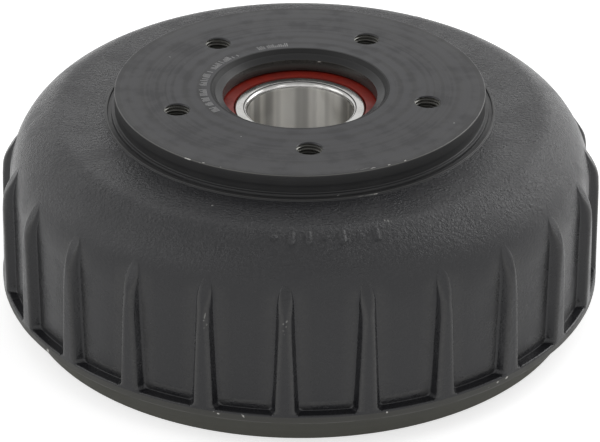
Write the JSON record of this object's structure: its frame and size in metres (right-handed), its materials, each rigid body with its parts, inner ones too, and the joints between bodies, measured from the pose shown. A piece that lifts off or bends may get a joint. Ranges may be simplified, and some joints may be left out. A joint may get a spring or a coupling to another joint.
{
  "type": "ribbed trailer brake drum with integral hub and sealed wheel bearing",
  "caption": "Black ribbed brake drum with an integral hub, a raised wheel face with threaded wheel bolt holes, and a sealed double-row wheel bearing pressed into the hub.",
  "frame": {"origin": "on the wheel axis, in the plane of the open rim that the drum stands on", "axes": "+Z along the wheel axis, towards the wheel face; X and Y lie in the rim's plane"},
  "size_m": [0.2614, 0.2614, 0.1],
  "materials": {
    "coated_cast_iron": "black coated casting with darkened turned faces",
    "bearing_steel": "hardened and ground",
    "ground_steel": "ground bright",
    "roller_steel": "ground bright",
    "cage_polymer": "moulded",
    "seal_case_steel": "pressed",
    "seal_rubber": "dark red moulded rubber",
    "spring_steel": "phosphated"
  },
  "bodies": {
    "drum": {"drum_casting": "coated_cast_iron", "bearing_outer_ring": "bearing_steel", "seal_case_outboard": "seal_case_steel", "seal_lip_outboard": "seal_rubber", "seal_case_inboard": "seal_case_steel", "seal_lip_inboard": "seal_rubber", "retaining_ring": "spring_steel"},
    "inner_rings": {"inner_ring_outboard": "ground_steel", "inner_ring_inboard": "ground_steel"},
    "roller_set_outboard": {"cage_outboard": "cage_polymer", "roller_outboard_01": "roller_steel", "roller_outboard_02": "roller_steel", "roller_outboard_03": "roller_steel", "roller_outboard_04": "roller_steel", "roller_outboard_05": "roller_steel", "roller_outboard_06": "roller_steel", "roller_outboard_07": "roller_steel", "roller_outboard_08": "roller_steel", "roller_outboard_09": "roller_steel", "roller_outboard_10": "roller_steel", "roller_outboard_11": "roller_steel", "roller_outboard_12": "roller_steel", "roller_outboard_13": "roller_steel", "roller_outboard_14": "roller_steel", "roller_outboard_15": "roller_steel", "roller_outboard_16": "roller_steel", "roller_outboard_17": "roller_steel"},
    "roller_set_inboard": {"cage_inboard": "cage_polymer", "roller_inboard_01": "roller_steel", "roller_inboard_02": "roller_steel", "roller_inboard_03": "roller_steel", "roller_inboard_04": "roller_steel", "roller_inboard_05": "roller_steel", "roller_inboard_06": "roller_steel", "roller_inboard_07": "roller_steel", "roller_inboard_08": "roller_steel", "roller_inboard_09": "roller_steel", "roller_inboard_10": "roller_steel", "roller_inboard_11": "roller_steel", "roller_inboard_12": "roller_steel", "roller_inboard_13": "roller_steel", "roller_inboard_14": "roller_steel", "roller_inboard_15": "roller_steel", "roller_inboard_16": "roller_steel", "roller_inboard_17": "roller_steel"}
  },
  "joints": [
    {"name": "bearing_spin", "type": "hinge", "parent": "drum", "child": "inner_rings", "pos_m": [0, 0, 0.0711], "axis": [0, 0, 1], "continuous": true},
    {"name": "roller_set_outboard_spin", "type": "hinge", "parent": "drum", "child": "roller_set_outboard", "pos_m": [0, 0, 0.0807], "axis": [0, 0, 1], "continuous": true},
    {"name": "roller_set_inboard_spin", "type": "hinge", "parent": "drum", "child": "roller_set_inboard", "pos_m": [0, 0, 0.0615], "axis": [0, 0, 1], "continuous": true}
  ],
  "couplings": [
    {"joint": "roller_set_outboard_spin", "follows": "bearing_spin", "ratio": 0.4334},
    {"joint": "roller_set_inboard_spin", "follows": "bearing_spin", "ratio": 0.4334}
  ]
}
